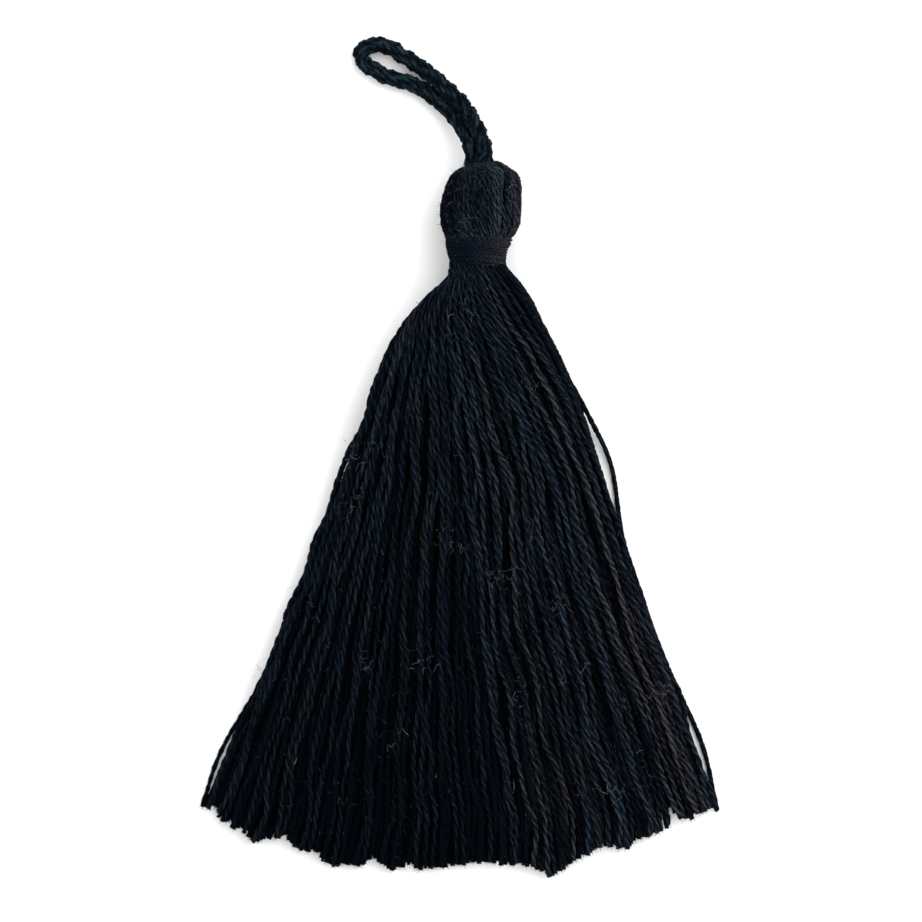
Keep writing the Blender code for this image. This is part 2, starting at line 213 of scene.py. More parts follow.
class Length:
    """One length of yarn in the skirt: its place in the bundle and in the fan.

    layer: -1 on the surface, 1 on top of the pile. The lowest lie straight, the top ones loose.
    """

    def __init__(self, number, dice):
        self.angle = number * math.pi * (3 - math.sqrt(5))
        self.radius = math.sqrt((number + 0.5) / LENGTHS)
        self.layer = math.cos(self.angle) * self.radius
        self.layer /= math.sqrt(1 - (self.radius * math.sin(self.angle)) ** 2)
        self.seed = number + 1
        self.loose = smooth_step((self.layer - LOOSE_FROM) / LOOSE_OVER)
        self.loose = LEAST_LOOSE + (1 - LEAST_LOOSE) * self.loose
        self.drift = self.loose * dice.uniform(-DRIFT, DRIFT)
        self.strays = []
        self.short = dice.uniform(0, CUT_UNEVEN)
        self.end = cut_at(self.sideways(BARE_LENGTH - BEFORE_CUT))  # as judged before combing

    def across(self, turned=0.0):
        """Its place from -1 at the fan's left edge to 1 at its right, all equally crowded."""
        side = self.radius * math.sin(self.angle - math.radians(turned))
        return 2 / math.pi * (side * math.sqrt(1 - side * side) + math.asin(side))

    def sideways(self, down):
        """Where the length falls in X at a distance below the neck line, before combing."""
        row = spread_at(down)
        side = self.radius * math.sin(self.angle - math.radians(row.turned))
        across = self.across(row.turned)
        reach = row.right if across > 0 else row.left
        fanned = side * (1 - row.settled) + across * row.settled
        free = smooth_step((down - GRIPPED_TO) / FREED_OVER)
        inwards = 1 - abs(across) ** EDGE_KEPT
        locks = LOCK_SWAY * swayed(across, down, WIDE_LOCKS)
        locks += LOCK_SWAY * inwards * swayed(across, down, NARROW_LOCKS)
        own = sum(
            wave.share * wandering(self.seed + wave.seed, down, wave.grain) for wave in WAVES
        )
        place = reach * fanned + free * (locks + WANDER * self.loose * own)
        place += free * self.drift * inwards * (down / BARE_LENGTH - DRIFT_FROM)
        return place

    def apart(self, down):
        """How far it is drawn sideways from its neighbours, into a lock or out of the fan."""
        moved = parted(self.across(spread_at(down).turned), down, self.end)
        for stray in self.strays:
            share = np.clip((down - stray.start) / (stray.end - stray.start), 0, 1)
            moved += stray.side * stray.reach * math.sin(math.pi * share) ** 2
        return moved

    def above(self, down):
        """How high it still lies in the round bundle at a distance below the neck line."""
        row = spread_at(down)
        height = self.radius * math.cos(self.angle - math.radians(row.turned))
        return row.middle + row.half * height


def smoothed(rows):
    """Every row's values, each eased towards its two neighbours on either side."""
    shares = (0.07, 0.24, 0.38, 0.24, 0.07)
    padded = np.pad(rows, ((0, 0), (2, 2)), mode="edge")
    return sum(share * padded[:, n : n + rows.shape[1]] for n, share in enumerate(shares))


def laid_pile(lengths, stations):
    """Where every length lies at every station, combed, each resting on those laid before."""
    settled = np.array([spread_at(down).settled for down in stations])
    sideways = np.array([[one.sideways(down) for down in stations] for one in lengths])
    for stroke in COMBED:
        some = sideways[stroke.first : stroke.last]
        even = np.linspace(some.min(axis=0), some.max(axis=0), len(some))
        even = np.take_along_axis(even, some.argsort(axis=0).argsort(axis=0), axis=0)
        some += stroke.even * settled * smoothed(even - some)
    sideways += np.array([[one.apart(down) for down in stations] for one in lengths])
    stacked = np.zeros_like(sideways)
    for number in range(len(lengths)):
        under = sideways[:number]
        apart = np.abs(under - sideways[number])
        lift = np.sqrt(np.clip(PILE_STEP**2 - apart**2, 0, None))
        resting = np.where(apart < PILE_STEP, stacked[:number] + lift, 0.0)
        stacked[number] = resting.max(axis=0, initial=0.0)
    bundled = np.array([[one.above(down) for down in stations] for one in lengths])
    piled = YARN / 2 + PILE_LOFT * smoothed(stacked)
    return sideways, bundled * (1 - settled) + piled * settled


BETWEEN_POINTS = 6  # how many short lines stand for the curve between two points of a route


def evenly(route, step):
    """Points about a step apart on the smooth curve through a route's points."""
    route = np.asarray(route, dtype=float)
    ends = np.vstack([2 * route[0] - route[1], route, 2 * route[-1] - route[-2]])
    before, start, end, after = (ends[n : n + len(route) - 1, None] for n in range(4))
    t = np.linspace(0, 1, BETWEEN_POINTS, endpoint=False)[None, :, None]
    bent = (2 * before - 5 * start + 4 * end - after) * t**2
    bent += (3 * start - before - 3 * end + after) * t**3
    dense = (start + ((end - before) * t + bent) / 2).reshape(-1, 3)
    dense = np.vstack([dense, route[-1]])
    travelled = np.append(0, np.cumsum(np.linalg.norm(np.diff(dense, axis=0), axis=1)))
    marks = np.linspace(0, travelled[-1], max(2, round(travelled[-1] / step) + 1))
    return np.column_stack([np.interp(marks, travelled, dense[:, axis]) for axis in range(3)])


def plied_outline(name, thickness, plies, waist, sides):
    """A yarn's section: one lobe for each ply, with grooves between them."""
    outline = bpy.data.curves.new(name, "CURVE")
    outline.dimensions = "2D"
    ring = outline.splines.new("POLY")
    ring.points.add(sides - 1)
    for number, point in enumerate(ring.points):
        angle = -2 * math.pi * number / sides
        lobe, groove = math.cos(plies * angle / 2) / 2, math.sin(plies * angle / 2) * waist
        radius = math.hypot(lobe, groove) * thickness * MM
        point.co = (radius * math.cos(angle), radius * math.sin(angle), 0, 1)
    ring.use_cyclic_u = True
    guide = bpy.data.objects.new(name, outline)
    bpy.context.scene.collection.objects.link(guide)
    return guide


MERGED = 1e-7  # metres


def drawn_out(curve):
    """A bmesh of a curve's tubes, closed at their ends and smooth."""
    guide = bpy.data.objects.new(curve.name, curve)
    bpy.context.scene.collection.objects.link(guide)
    drawn = guide.evaluated_get(bpy.context.evaluated_depsgraph_get())
    tubes = bmesh.new()
    tubes.from_mesh(drawn.to_mesh())
    drawn.to_mesh_clear()
    bpy.data.objects.remove(guide)
    bmesh.ops.remove_doubles(tubes, verts=tubes.verts, dist=MERGED)
    for face in tubes.faces:
        face.smooth = True
    return tubes


def finished(name, whole):
    """The piece that a bmesh of tubes becomes."""
    mesh = bpy.data.meshes.new(name)
    whole.to_mesh(mesh)
    whole.free()
    mesh.uv_layers["UVMap"].name = "OFBake"
    piece = bpy.data.objects.new(name, mesh)
    bpy.context.scene.collection.objects.link(piece)
    return piece


TWIST_UNEVEN = 0.25  # in turns
TWIST_GRAIN = 1.7
ROWS_APART = 3.1  # how far apart the noise of one yarn's twist lies from the next's
STRIP_EDGE = 0.05  # the share of a yarn's strip on its map that is left free at either edge


def twisted(name, routes, outline, lay, steps=6, pressed=None):
    """One mesh of many yarns: the outline carried along each route and turned once in a lay.

    pressed gives the share of its thickness that a yarn has at a place on its route. The map
    Plies counts full turns along a yarn, and goes once round it. On the map OFBake each yarn
    has a strip of its own.
    """
    whole = bmesh.new()
    dice = random.Random(len(routes))
    for row, route in enumerate(routes):
        line = evenly(route, lay / steps)
        count = len(line)
        shares = pressed(line) if pressed else np.ones(count)
        turns = np.arange(count) / steps
        uneven = [noise.noise(Vector((row * ROWS_APART, turn * TWIST_GRAIN, 0))) for turn in turns]
        turns += TWIST_UNEVEN * np.array(uneven)
        curve = bpy.data.curves.new(name, "CURVE")
        curve.dimensions = "3D"
        curve.twist_mode = "MINIMUM"
        curve.bevel_mode = "OBJECT"
        curve.bevel_object = outline
        curve.use_fill_caps = True
        spline = curve.splines.new("POLY")
        spline.points.add(count - 1)
        spline.points.foreach_set("co", np.column_stack([line * MM, np.ones(count)]).ravel())
        spline.points.foreach_set("tilt", dice.uniform(0, math.pi) - 2 * math.pi * turns)
        spline.points.foreach_set("radius", shares)
        strand = drawn_out(curve)
        plies = strand.loops.layers.uv.new("Plies")
        strip = strand.loops.layers.uv["UVMap"]
        for face in strand.faces:
            for corner in face.loops:
                along, around = corner[strip].uv
                corner[plies].uv = (along * (count - 1) / steps, around)
                around = STRIP_EDGE + (1 - 2 * STRIP_EDGE) * around
                corner[strip].uv = (along, (row + around) / len(routes))
        mesh = bpy.data.meshes.new(name)
        strand.to_mesh(mesh)
        strand.free()
        whole.from_mesh(mesh)
        bpy.data.meshes.remove(mesh)
    return finished(name, whole)


class Signal:
    """One socket of a material's nodes, so that shader maths reads as plain expressions."""

    def __init__(self, tree, socket=None):
        self.tree = tree
        self.socket = socket

    def node(self, kind, output=0, settings=None, inputs=None):
        """A new node: first its settings, then the values or links of its sockets."""
        node = self.tree.nodes.new("ShaderNode" + kind)
        for setting, value in (settings or {}).items():
            setattr(node, setting, value)
        for socket, value in (inputs or {}).items():
            if isinstance(value, Signal):
                self.tree.links.new(value.socket, node.inputs[socket])
            else:
                node.inputs[socket].default_value = value
        return Signal(self.tree, node.outputs[output])

    def maths(self, operation, first, second):
        return self.node("Math", 0, {"operation": operation}, {0: first, 1: second})

    def __add__(self, other):
        return self.maths("ADD", self, other)

    def __sub__(self, other):
        return self.maths("SUBTRACT", self, other)

    def __rsub__(self, other):
        return self.maths("SUBTRACT", other, self)

    def __mul__(self, other):
        return self.maths("MULTIPLY", self, other)

    __radd__ = __add__
    __rmul__ = __mul__


BLACK_DYE = (0.0003, 0.0010, 0.0024, 1.0)
FADED_DYE = (0.024, 0.035, 0.049, 1.0)
BROWNED_DYE = (0.040, 0.037, 0.042, 1.0)
GLINT = (0.35, 0.7, 1.0, 1.0)
NAP = (0.55, 0.75, 1.0, 1.0)

# How the paleness differs: the yarns' own fading, with painted shade in the groove between the
# plies and where the yarns leave the tie. The last two are for each square metre from the middle
# of the fan, and for each turn from the tie.
GROOVE_SHADE = 0.12  # what reaches the groove between the plies, as a share of the crown's
YARN_FADE = 0.9  # between the blackest yarn and the palest
SLUB_FADE = 1.9
FIBRE_FADE = 4.8
FIBRE_LEAST = 0.85
# Painted shade at the tie: the share of its paleness that a yarn keeps there, easing over its
# first turns.
TIE_SHADE = 0.58
EDGE_PALING = 1000
TIE_SHADE_EASING = 0.055

# How the browning differs, between yarns, in patches and for each metre towards +Y.
YARN_BROWN = 1.4
PATCH_BROWN = 1.6
PATCH_GRAIN = 110.0
BROWNING_ALONG = -7.0

# The grain of slubs and fibres along one turn of a yarn, and round it.
SLUB_GRAIN_ALONG = 0.5
FIBRE_GRAIN_ALONG = 5.5
FIBRE_GRAIN_ROUND = 17.0

# A yarn's own number from 0 to 1 picks its part of each noise, this wide in all.
SLUB_PICK = 37.0
FIBRE_PICK = 41.0
BROWN_PICK = 23.0

PLY_RELIEF = 0.8
FIBRE_RELIEF = 0.45
RELIEF_DEPTH = 0.07
MATT = 0.72
MATT_FIBRES = 0.25


def cotton(name, faded=FADED_DYE, bare=0.45, across=28.0, along=9.0, browned=-0.92, warm_light=21.0):
    """Matt black cotton of two plies, with painted shade between them and painted highlights on
    their crowns, and faded where the fibres stand out.

    bare: how faded every yarn is at the least. across, along: how much paler it is painted for
    each metre towards +X and +Y. across is painted light from the right, and along on the skirt is
    painted shade that deepens towards the cut ends. The fan's two edges are a little paler too,
    and a yarn's first eight turns are painted darker, painted shade of the tie. browned: how brown
    the faded dye
    has gone. warm_light: how much more brown it is painted for each metre towards +X, painted warm
    light from the right, and on the binding a painted brownish highlight.
    """
    material = bpy.data.materials.new(name)
    material.use_nodes = True
    tree = material.node_tree
    start = Signal(tree)
    plies = start.node("UVMap", 0, {"uv_map": "Plies"})
    turns = plies.node("SeparateXYZ", 0, None, {0: plies})
    around = plies.node("SeparateXYZ", 1, None, {0: plies})
    own = start.node("NewGeometry", "Random Per Island")
    round_plies = around * (2 * YARN_PLIES) * math.pi
    crown = 0.5 + 0.5 * start.node("Math", 0, {"operation": "COSINE"}, {0: round_plies})
    # Painted highlight on the crown of each ply and painted shade in the groove between them.
    painted_ply_light = GROOVE_SHADE + (1 - GROOVE_SHADE) * crown * crown
    thread = start.node("CombineXYZ", 0, None, {0: turns * SLUB_GRAIN_ALONG, 1: own * SLUB_PICK})
    slubs = start.node("TexNoise", 0, None, {"Vector": thread, "Scale": 1.0, "Detail": 2.0})
    winding = (around + turns) * FIBRE_GRAIN_ROUND
    spun = {0: turns * FIBRE_GRAIN_ALONG, 1: winding, 2: own * FIBRE_PICK}
    spun = start.node("CombineXYZ", 0, None, spun)
    fibres = start.node("TexNoise", 0, None, {"Vector": spun, "Scale": 1.0, "Detail": 3.0})
    place = start.node("TexCoord", "Object")
    along_x = start.node("SeparateXYZ", 0, None, {0: place})
    along_y = start.node("SeparateXYZ", 1, None, {0: place})
    # Painted light from the right (across), painted shade along Y that darkens the skirt towards
    # its cut ends (along), paler towards the fan's two edges, and painted shade where yarns leave
    # the tie.
    painted_light_and_edge_tone = 1.0 + across * along_x + EDGE_PALING * along_x * along_x + along * along_y
    painted_light_and_edge_tone = painted_light_and_edge_tone * start.maths("MINIMUM", TIE_SHADE + TIE_SHADE_EASING * turns, 1.0)
    pale = bare + YARN_FADE * own * own + SLUB_FADE * (slubs - 0.5)
    # How pale each place is painted: the yarn's own fading, slubs and fibres, times the painted
    # highlight and shade of the plies and the painted light and shade above.
    paleness = painted_ply_light * pale * painted_light_and_edge_tone * (FIBRE_FADE * (fibres - 0.5) + FIBRE_LEAST)
    chance = start.node("Math", 0, {"operation": "FRACT"}, {0: own * BROWN_PICK})
    patches = {"Vector": place, "Scale": PATCH_GRAIN, "Detail": 1.0}
    patches = start.node("TexNoise", 0, None, patches)
    # Brown yarns and patches are the dye's own; more brown towards +X is painted warm light from
    # the right.
    brown = browned + warm_light * along_x + BROWNING_ALONG * along_y
    brown = brown + YARN_BROWN * chance + PATCH_BROWN * (patches - 0.5)
    blend = {"data_type": "RGBA", "clamp_factor": True}
    pale_dye = start.node("Mix", 2, blend, {0: brown, 6: faded, 7: BROWNED_DYE})
    colour = start.node("Mix", 2, blend, {0: paleness, 6: BLACK_DYE, 7: pale_dye})
    height = PLY_RELIEF * crown + FIBRE_RELIEF * fibres
    relief = {"Height": height, "Distance": RELIEF_DEPTH * MM, "Strength": 1.0}
    bump = start.node("Bump", 0, None, relief)
    surface = tree.nodes["Principled BSDF"]
    tree.links.new(colour.socket, surface.inputs["Base Color"])
    tree.links.new((MATT + MATT_FIBRES * fibres).socket, surface.inputs["Roughness"])
    tree.links.new(bump.socket, surface.inputs["Normal"])
    surface.inputs["Specular IOR Level"].default_value = 0.03
    surface.inputs["Specular Tint"].default_value = GLINT
    surface.inputs["Sheen Weight"].default_value = 0.01
    surface.inputs["Sheen Roughness"].default_value = 0.5
    surface.inputs["Sheen Tint"].default_value = NAP
    return material


black_cotton = cotton("black_cotton_yarn")
# A darker copy of the cotton for the skirt's four lower layers: painted shade under the top layer.
shaded_cotton = cotton(
    "black_cotton_inside_shaded",
    faded=(0.011, 0.015, 0.022, 1.0),
    bare=0.2,
    along=12.5,
    browned=-1.3,
)

dice = random.Random(11)
lengths = sorted((Length(number, dice) for number in range(LENGTHS)), key=lambda one: one.layer)
from_left = sorted(lengths, key=lambda one: one.across())
for stray in STRAYS:
    from_left[-1 - stray.place if stray.side > 0 else stray.place].strays.append(stray)
stations = np.arange(ROOT, LAST_STATION, STATION)
sideways, heights = laid_pile(lengths, stations)
routes = []
for one, xs, zs in zip(lengths, sideways, heights):
    end = cut_at(np.interp(one.end, stations, xs)) - one.short
    kept = stations < end - LAST_STEP
    downs = np.append(stations[kept], end)
    xs = np.interp(downs, stations, xs)
    zs = np.interp(downs, stations, zs)
    routes.append(np.column_stack([xs, NECK_LINE - downs, np.maximum(zs, YARN / 2)]))


def gripped(line):
    """A length's share of its thickness: pressed near the binding, and uneven all the way."""
    uneven = [1 + SLUB * noise.noise(Vector(point) * SLUB_GRAIN) for point in line]
    freed = smooth_step((NECK_LINE - line[:, 1]) / PRESSED_FOR)
    return (PRESSED + (1 - PRESSED) * freed) * uneven


# The skirt is made in five layers from the surface up, the hidden ones more coarsely. The four
# lower layers get the darker copy of the cotton, painted shade under the top one. first, last: its
# lengths. sides, steps: of a yarn's outline, and in each turn of its plies.
Layer = namedtuple("Layer", "name first last waist sides steps finish")
LAYERS = (
    Layer("skirt_1", 0, 65, 0.45, 6, 5, shaded_cotton),
    Layer("skirt_2", 65, 130, 0.45, 6, 5, shaded_cotton),
    Layer("skirt_3", 130, 190, 0.34, 8, 7, shaded_cotton),
    Layer("skirt_4", 190, 242, YARN_WAIST, 8, 8, shaded_cotton),
    Layer("skirt_5", 242, LENGTHS, YARN_WAIST, 10, 9, black_cotton),
)
for layer in LAYERS:
    outline = plied_outline("yarn_outline", YARN, YARN_PLIES, layer.waist, layer.sides)
    some = routes[layer.first : layer.last]
    piece = twisted(layer.name, some, outline, YARN_LAY, layer.steps, gripped)
    bpy.data.objects.remove(outline)
    piece.data.materials.append(layer.finish)
    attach(piece, "root")
    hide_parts("yarn_hank")


# ---------------------------------------------------------------- the head
# The fold of the hank over the cord: the same yarns come up out of the dimple round the cord,
# over the crown and down to the binding, all a little aslant and pressed thin. One lock at the
# right lies a little apart.
HEAD_YARN = 0.52
HEAD_YARN_LAY = 2.4
HEAD_LAYERS = ((84, 0.0), (66, 0.36))  # how many yarns, and how deep they lie
LAYERS_APART = 900  # between the seeds of two yarns, for each mm that one lies deeper
HEAD_SLANT = math.radians(26)
HEAD_MIDDLE = 4.55
SLANT_FROM = 0.6  # the share of its way where a slanting yarn crosses its own place
HEAD_SWAY = 0.05  # radians
HEAD_UNEVEN = 0.14
SWAY_GRAIN = 3.0
UNEVEN_GRAIN = 4.0
UNEVEN_SEED = 60

# The crease beside the lock: angles are from the top of the head towards +X. It opens over a
# stretch of each yarn's way. The yarns of the lock, beyond it, lie nearly straight.
CREASE_AT = math.radians(38)
CREASE_WIDTH = math.radians(5)
CREASE_DEPTH = 1.3
CREASE_FROM = 0.3
CREASE_OVER = 0.3
LIP = 0.10  # how proud the crease's far lip stands, and where, in widths of the crease
LIP_AT = 4
LIP_WIDTH = 8
LOCK_BEYOND = 0.5  # radians
LOCK_WIDTH = 0.55  # radians
LOCK_STRAIGHT = 0.9

# along: Y of the ring through the outer yarns' middle lines. centre: its middle in X. tilt: how
# much higher the ring is at the right, for each mm across.
Ring = namedtuple("Ring", "along centre radius tilt")
HEAD = (
    Ring(3.90, 0.20, 1.05, 0.00),
    Ring(4.90, 0.25, 1.20, 0.08),
    Ring(5.45, 0.25, 1.75, 0.17),
    Ring(5.27, 0.40, 2.35, 0.13),
    Ring(5.00, 0.48, 2.82, 0.08),
    Ring(4.60, 0.68, 3.42, 0.03),
    Ring(4.10, 0.78, 3.92, 0.00),
    Ring(3.45, 0.70, 4.18, 0.00),
    Ring(2.40, 0.56, 4.42, 0.00),
    Ring(0.90, 0.36, 4.62, 0.00),
    Ring(-0.48, 0.29, 4.66, 0.00),
    Ring(-1.60, 0.29, 4.52, 0.00),
    Ring(-2.30, 0.22, 4.26, 0.00),
    Ring(-2.95, 0.12, 3.92, 0.00),
    Ring(-3.50, 0.00, 3.55, 0.00),
    Ring(-4.60, -0.08, 3.20, 0.00),
)


def head_route(angle, deep, seed):
    """A yarn from the dimple over the crown to the binding, at an angle from the top."""
    route = []
    in_lock = math.exp(-(((angle - CREASE_AT - LOCK_BEYOND) / LOCK_WIDTH) ** 4))
    slant = HEAD_SLANT * (1 - LOCK_STRAIGHT * in_lock)
    for number, ring in enumerate(HEAD):
        share = number / (len(HEAD) - 1)
        fullness = math.sin(math.pi * share)
        turn = angle + slant * (share - SLANT_FROM)
        turn += HEAD_SWAY * fullness * wandering(seed, share, SWAY_GRAIN)
        radius = ring.radius - deep
        radius += HEAD_UNEVEN * fullness * wandering(seed + UNEVEN_SEED, share, UNEVEN_GRAIN)
        off = (turn - CREASE_AT) / CREASE_WIDTH
        creased = fullness * smooth_step((share - CREASE_FROM) / CREASE_OVER)
        radius -= CREASE_DEPTH * creased * math.exp(-off * off)
        radius += LIP * creased * math.exp(-((off - LIP_AT) ** 2) / LIP_WIDTH)
        x = ring.centre + radius * math.sin(turn)
        y = ring.along + ring.tilt * (x - ring.centre)
        z = HEAD_MIDDLE + radius * math.cos(turn)
        route.append((x, y, max(HEAD_YARN / 2, z)))
    return route


head_routes = []
for count, deep in HEAD_LAYERS:
    for number in range(count):
        angle = 2 * math.pi * (number + 0.5) / count - math.pi
        head_routes.append(head_route(angle, deep, number + LAYERS_APART * deep))
outline = plied_outline("yarn_outline", HEAD_YARN, YARN_PLIES, YARN_WAIST, 8)
head = twisted("head", head_routes, outline, HEAD_YARN_LAY)
bpy.data.objects.remove(outline)
# On the head, across paints the right lock paler, painted light from the right, and warm_light
# paints it more brown, painted warm light; along makes it darker towards +Y.
folded_cotton = cotton(
    "black_cotton_fold",
    faded=(0.033, 0.050, 0.067, 1.0),
    bare=0.28,
    across=276.0,
    along=-40.0,
    browned=-1.5,
    warm_light=340.0,
)
head.data.materials.append(folded_cotton)
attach(head, "root")
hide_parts("yarn_hank")


# ---------------------------------------------------------------- the neck binding
# A fine black thread wound tightly round the hank from the head down, then back up over itself,
# each turn in the groove between two turns below it. Its right side is painted paler and more
# brown, a painted brownish highlight.
THREAD = 0.3
THREAD_LAY = 1.1
THREAD_WAIST = 0.34
BINDING_MIDDLE = 4.48
POINTS_A_TURN = 30
BINDING_UNEVEN = 0.14  # along the hank
BINDING_GRAIN = 0.9
BINDING_SPRING = 0.06  # off the hank
SPRING_GRAIN = 1.3
BINDING_SLOPE = 0.30  # how much lower a turn lies at its lowest place than at its middle
SLOPE_FROM = 0.3  # radians from the top

# turn: how many turns have been wound. along: Y. centre, radius: of the winding, in X.
Wind = namedtuple("Wind", "turn along centre radius")
WINDING = (
    Wind(0.0, -3.02, 0.08, 3.80),
    Wind(1.5, -3.45, 0.04, 3.66),
    Wind(5.0, -4.45, -0.16, 3.44),
    Wind(8.5, -5.45, -0.16, 3.18),
    Wind(12.0, -6.45, -0.02, 3.06),
    Wind(12.5, -6.35, -0.02, 3.22),
    Wind(15.5, -5.48, -0.16, 3.36),
    Wind(19.0, -4.46, -0.17, 3.62),
    Wind(22.5, -3.44, 0.06, 3.82),
    Wind(23.5, -3.12, 0.10, 3.94),
)
turns = [wind.turn for wind in WINDING]
thread_route = []
for turn in np.arange(0, WINDING[-1].turn, 1 / POINTS_A_TURN):
    along, centre, radius = (np.interp(turn, turns, column) for column in list(zip(*WINDING))[1:])
    angle = 2 * math.pi * turn
    sloped = BINDING_SLOPE * math.sin(angle - SLOPE_FROM)
    along += BINDING_UNEVEN * wandering(5, turn, BINDING_GRAIN) - sloped
    radius += BINDING_SPRING * wandering(6, turn, SPRING_GRAIN)
    thread_route.append((
        centre + radius * math.sin(angle),
        along,
        BINDING_MIDDLE + radius * math.cos(angle),
    ))
outline = plied_outline("thread_outline", THREAD, YARN_PLIES, THREAD_WAIST, 8)
binding = twisted("binding", [thread_route], outline, THREAD_LAY)
bpy.data.objects.remove(outline)
# On the binding, across and warm_light paint the right side paler and more brown: painted light
# from the right and a painted brownish highlight.
fine_thread = cotton(
    "black_thread",
    faded=(0.005, 0.012, 0.020, 1.0),
    bare=0.6,
    across=80.0,
    along=0.0,
    browned=-0.8,
    warm_light=220.0,
)
binding.data.materials.append(fine_thread)
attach(binding, "root")
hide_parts("neck_binding")


# ---------------------------------------------------------------- the hanging loop
# A short cord of three plies, each of three yarns, doubled; both legs go into the dimple in the
# crown. It flops over and lies on the surface beyond the head.
CORD_LAY = 6.3
CORD_STEP = 0.3  # between two points of its line
CORD_PLIES = 3
PLY_OFFSET = 0.45
PLY_YARNS = 3
CORD_YARN = 0.84
CORD_YARN_WAIST = 0.44
CORD_YARN_OFFSET = 0.28
CORD_YARN_LAY = 3.6
LOOP_ROUTE = (
    (0.40, 3.90, 5.36),
    (0.52, 5.05, 5.42),
    (0.78, 6.05, 5.34),
    (0.86, 7.05, 5.06),
    (0.22, 9.16, 4.30),
    (-0.89, 11.36, 3.48),
    (-2.10, 13.16, 2.78),
    (-3.70, 14.75, 2.12),
    (-5.02, 15.95, 1.66),
    (-6.77, 17.35, 1.22),
    (-8.26, 18.34, 1.02),
    (-9.25, 18.96, 0.96),
    (-10.20, 19.62, 0.94),
    (-11.20, 20.02, 0.94),
    (-12.35, 20.16, 0.94),
    (-13.38, 19.90, 0.94),
    (-14.00, 19.14, 0.94),
    (-13.92, 18.22, 0.94),
    (-13.20, 17.62, 0.94),
    (-12.30, 17.06, 0.94),
    (-11.40, 16.52, 0.94),
    (-10.30, 16.10, 0.94),
    (-9.00, 15.80, 0.94),
    (-7.60, 15.30, 0.94),
    (-6.30, 14.60, 1.00),
    (-5.30, 13.86, 1.14),
    (-4.10, 12.85, 1.44),
    (-3.30, 12.00, 1.76),
    (-2.62, 11.15, 2.06),
    (-2.00, 10.25, 2.38),
    (-1.42, 9.30, 2.72),
    (-1.00, 8.30, 3.06),
    (-0.70, 7.15, 3.42),
    (-0.62, 6.10, 3.68),
    (-0.62, 5.05, 3.82),
    (-0.56, 3.90, 3.94),
)


def wound(line, offset, lay, start):
    """A line that winds round another at an offset, one turn in a lay, like an S."""
    ahead = np.gradient(line, axis=0)
    ahead /= np.linalg.norm(ahead, axis=1)[:, None]
    aside = np.cross(ahead, (0, 0, 1))
    aside /= np.linalg.norm(aside, axis=1)[:, None]
    above = np.cross(aside, ahead)
    travelled = np.append(0, np.cumsum(np.linalg.norm(np.diff(line, axis=0), axis=1)))
    angle = (start - 2 * math.pi * travelled / lay)[:, None]
    return line + offset * (np.cos(angle) * aside + np.sin(angle) * above)


cord_line = evenly(LOOP_ROUTE, CORD_STEP)
cord_routes = []
for ply in range(CORD_PLIES):
    ply_line = wound(cord_line, PLY_OFFSET, CORD_LAY, ply * 2 * math.pi / CORD_PLIES)
    for yarn in range(PLY_YARNS):
        start = yarn * 2 * math.pi / PLY_YARNS
        route = wound(ply_line, CORD_YARN_OFFSET, CORD_YARN_LAY, start)
        route[:, 2] = np.maximum(route[:, 2], CORD_YARN / 2)
        cord_routes.append(route)
outline = plied_outline("cord_yarn_outline", CORD_YARN, YARN_PLIES, CORD_YARN_WAIST, 8)
loop = twisted("loop", cord_routes, outline, CORD_YARN_LAY)
bpy.data.objects.remove(outline)
cord_cotton = cotton(
    "black_cotton_cord",
    faded=(0.0145, 0.029, 0.037, 1.0),
    bare=0.4,
    across=12.0,
    along=0.0,
    browned=-0.9,
    warm_light=5.0,
)
loop.data.materials.append(cord_cotton)
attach(loop, "root")
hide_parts("hanging_loop")


# ---------------------------------------------------------------- fuzz and lint
# Loose ends of fibre stand out of every spun yarn and out of its cut end, and a few paler
# curls of lint cling to the skirt.
HAIRS = 4200
FRAYS = 5  # loose fibres at each cut end
HAIR_TIP = 0.55  # the share of its thickness left at a fibre's tip

# shortest, longest: a fibre's length. points: on its line. bend: how sharply it turns at each.
Hair = namedtuple("Hair", "thickness shortest longest points bend")
FUZZ = Hair(0.03, 0.2, 0.9, 3, 0.45)
FRAY = Hair(0.03, 0.2, 0.6, 3, 0.3)
LINT = Hair(0.022, 0.5, 2.0, 11, 0.5)

# Where lint lies: its middle in X and Y, how widely it is strewn, and how many curls.
Spot = namedtuple("Spot", "x y wide curls")
SPOTS = (
    Spot(-15.2, -29.0, 1.6, 12),
    Spot(-11.8, -29.0, 1.2, 5),
    Spot(-15.0, -34.0, 2.0, 8),
    Spot(-4.2, -39.0, 1.4, 8),
    Spot(-2.5, -40.2, 1.4, 8),
    Spot(1.4, -43.3, 1.5, 8),
    Spot(3.0, -44.5, 2.5, 12),
    Spot(6.2, -38.5, 2.0, 10),
    Spot(9.0, -47.4, 1.6, 9),
    Spot(-13.3, -54.1, 1.8, 10),
    Spot(-6.6, -54.1, 1.8, 10),
    Spot(5.0, -57.0, 2.0, 8),
    Spot(9.8, -56.0, 2.5, 8),
    Spot(-9.7, -62.5, 2.0, 8),
    Spot(22.2, -57.7, 2.0, 9),
    Spot(15.0, -69.0, 1.6, 8),
    Spot(17.4, -69.0, 1.6, 10),
    Spot(19.4, -66.5, 2.5, 9),
    Spot(6.0, -20.5, 2.5, 8),
    Spot(-1.5, -13.0, 2.0, 8),
    Spot(-25.8, -54.5, 2.0, 8),
    Spot(-18.0, -45.0, 6.0, 9),
)

PLAN_SCALE = 8  # the share of the fibres' map that one metre takes
PLAN_MIDDLE = (0.5, 0.7)
LOWEST = 0.03  # how high every fibre stays above the surface
SWING_KEPT = 0.7  # how much of a fibre's last turn carries on at the next point
SWING_NEW = 0.6


